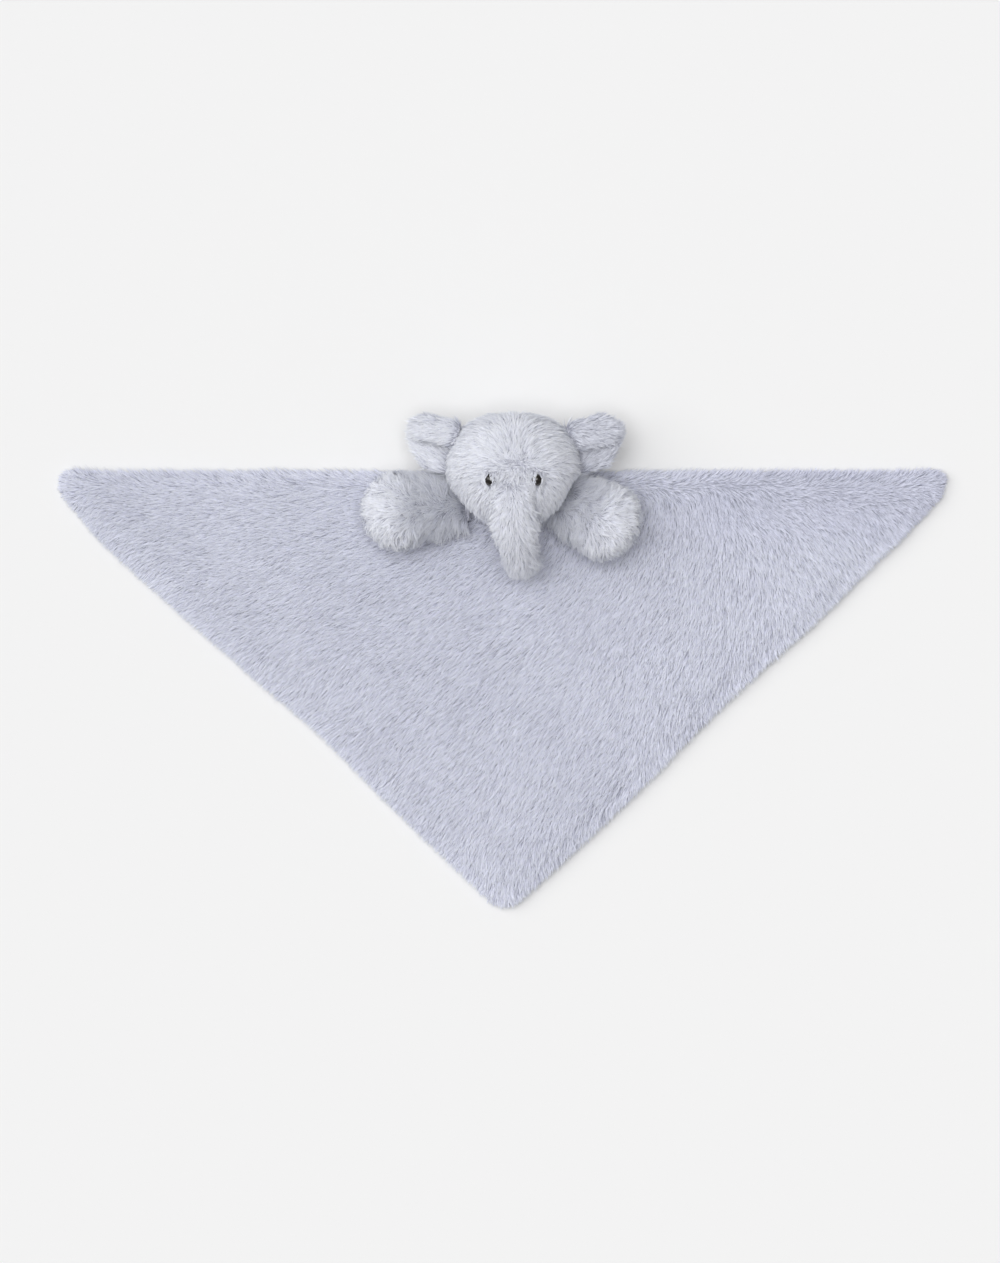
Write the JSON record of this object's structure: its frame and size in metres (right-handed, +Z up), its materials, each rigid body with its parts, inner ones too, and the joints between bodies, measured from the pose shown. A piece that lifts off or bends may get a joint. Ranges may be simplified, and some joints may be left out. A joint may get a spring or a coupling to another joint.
{
  "type": "plush elephant comforter",
  "caption": "Flat triangular plush comforter blanket with a stuffed elephant head, ears, trunk and arms sewn at the middle of its long edge.",
  "frame": {"origin": "on the flat underside of the back panel, below the neck, 12.5 mm inside the middle of the blanket's long edge", "axes": "+X along the long edge to the viewer's right, +Y from the blanket's point towards the long edge and the crown of the head, +Z up out of the face"},
  "size_m": [0.4772, 0.2619, 0.0705],
  "materials": {
    "blanket_plush": "matt long-pile plush",
    "head_plush": "matt long-pile plush",
    "fibre_fill": "loose white fibre",
    "eye_bead": "polished",
    "washer_plastic": "moulded"
  },
  "bodies": {
    "blanket": {"blanket_front_panel": "blanket_plush", "blanket_back_panel": "blanket_plush"},
    "neck": {"neck": "head_plush"},
    "head": {"head_cover": "head_plush", "head_stuffing": "fibre_fill", "left_eye": "eye_bead", "right_eye": "eye_bead", "left_eye_washer": "washer_plastic", "right_eye_washer": "washer_plastic"},
    "trunk": {"trunk_cover": "head_plush", "trunk_stuffing": "fibre_fill"},
    "left_ear": {"left_ear_back": "head_plush", "left_ear_lining": "head_plush"},
    "right_ear": {"right_ear_back": "head_plush", "right_ear_lining": "head_plush"},
    "left_arm": {"left_arm_cover": "head_plush", "left_arm_stuffing": "fibre_fill"},
    "right_arm": {"right_arm_cover": "head_plush", "right_arm_stuffing": "fibre_fill"}
  },
  "joints": [
    {"name": "head_tip", "type": "hinge", "parent": "blanket", "child": "neck", "pos_m": [0.005, 0.012, 0.0098], "axis": [-1, 0, 0], "range_deg": [0, 25], "stiffness_Nm_per_rad": 0.006, "springref_deg": -14.9},
    {"name": "head_turn", "type": "hinge", "parent": "neck", "child": "head", "pos_m": [0.005, 0.004, 0.0138], "axis": [0, 0, 1], "range_deg": [-8, 8], "stiffness_Nm_per_rad": 0.004},
    {"name": "trunk_lift", "type": "hinge", "parent": "head", "child": "trunk", "pos_m": [0.005, 0.00572, 0.0686], "axis": [-1, 0, 0], "range_deg": [0, 75]},
    {"name": "left_ear_flap", "type": "hinge", "parent": "head", "child": "left_ear", "pos_m": [-0.03352, 0.01236, 0.0353], "axis": [0.2475, 0.9689, 0], "range_deg": [-45, 0], "stiffness_Nm_per_rad": 0.001, "springref_deg": 8.59},
    {"name": "right_ear_flap", "type": "hinge", "parent": "head", "child": "right_ear", "pos_m": [0.04385, 0.01244, 0.03606], "axis": [0.2475, -0.9689, 0], "range_deg": [-45, 0], "stiffness_Nm_per_rad": 0.001, "springref_deg": 8.59},
    {"name": "left_arm_lift", "type": "hinge", "parent": "blanket", "child": "left_arm", "pos_m": [-0.02, -0.002, 0.0138], "axis": [-0.1736, 0.9848, 0], "range_deg": [0, 30]},
    {"name": "right_arm_lift", "type": "hinge", "parent": "blanket", "child": "right_arm", "pos_m": [0.0255, 0.0005, 0.0138], "axis": [-0.454, -0.891, 0], "range_deg": [0, 15]}
  ]
}
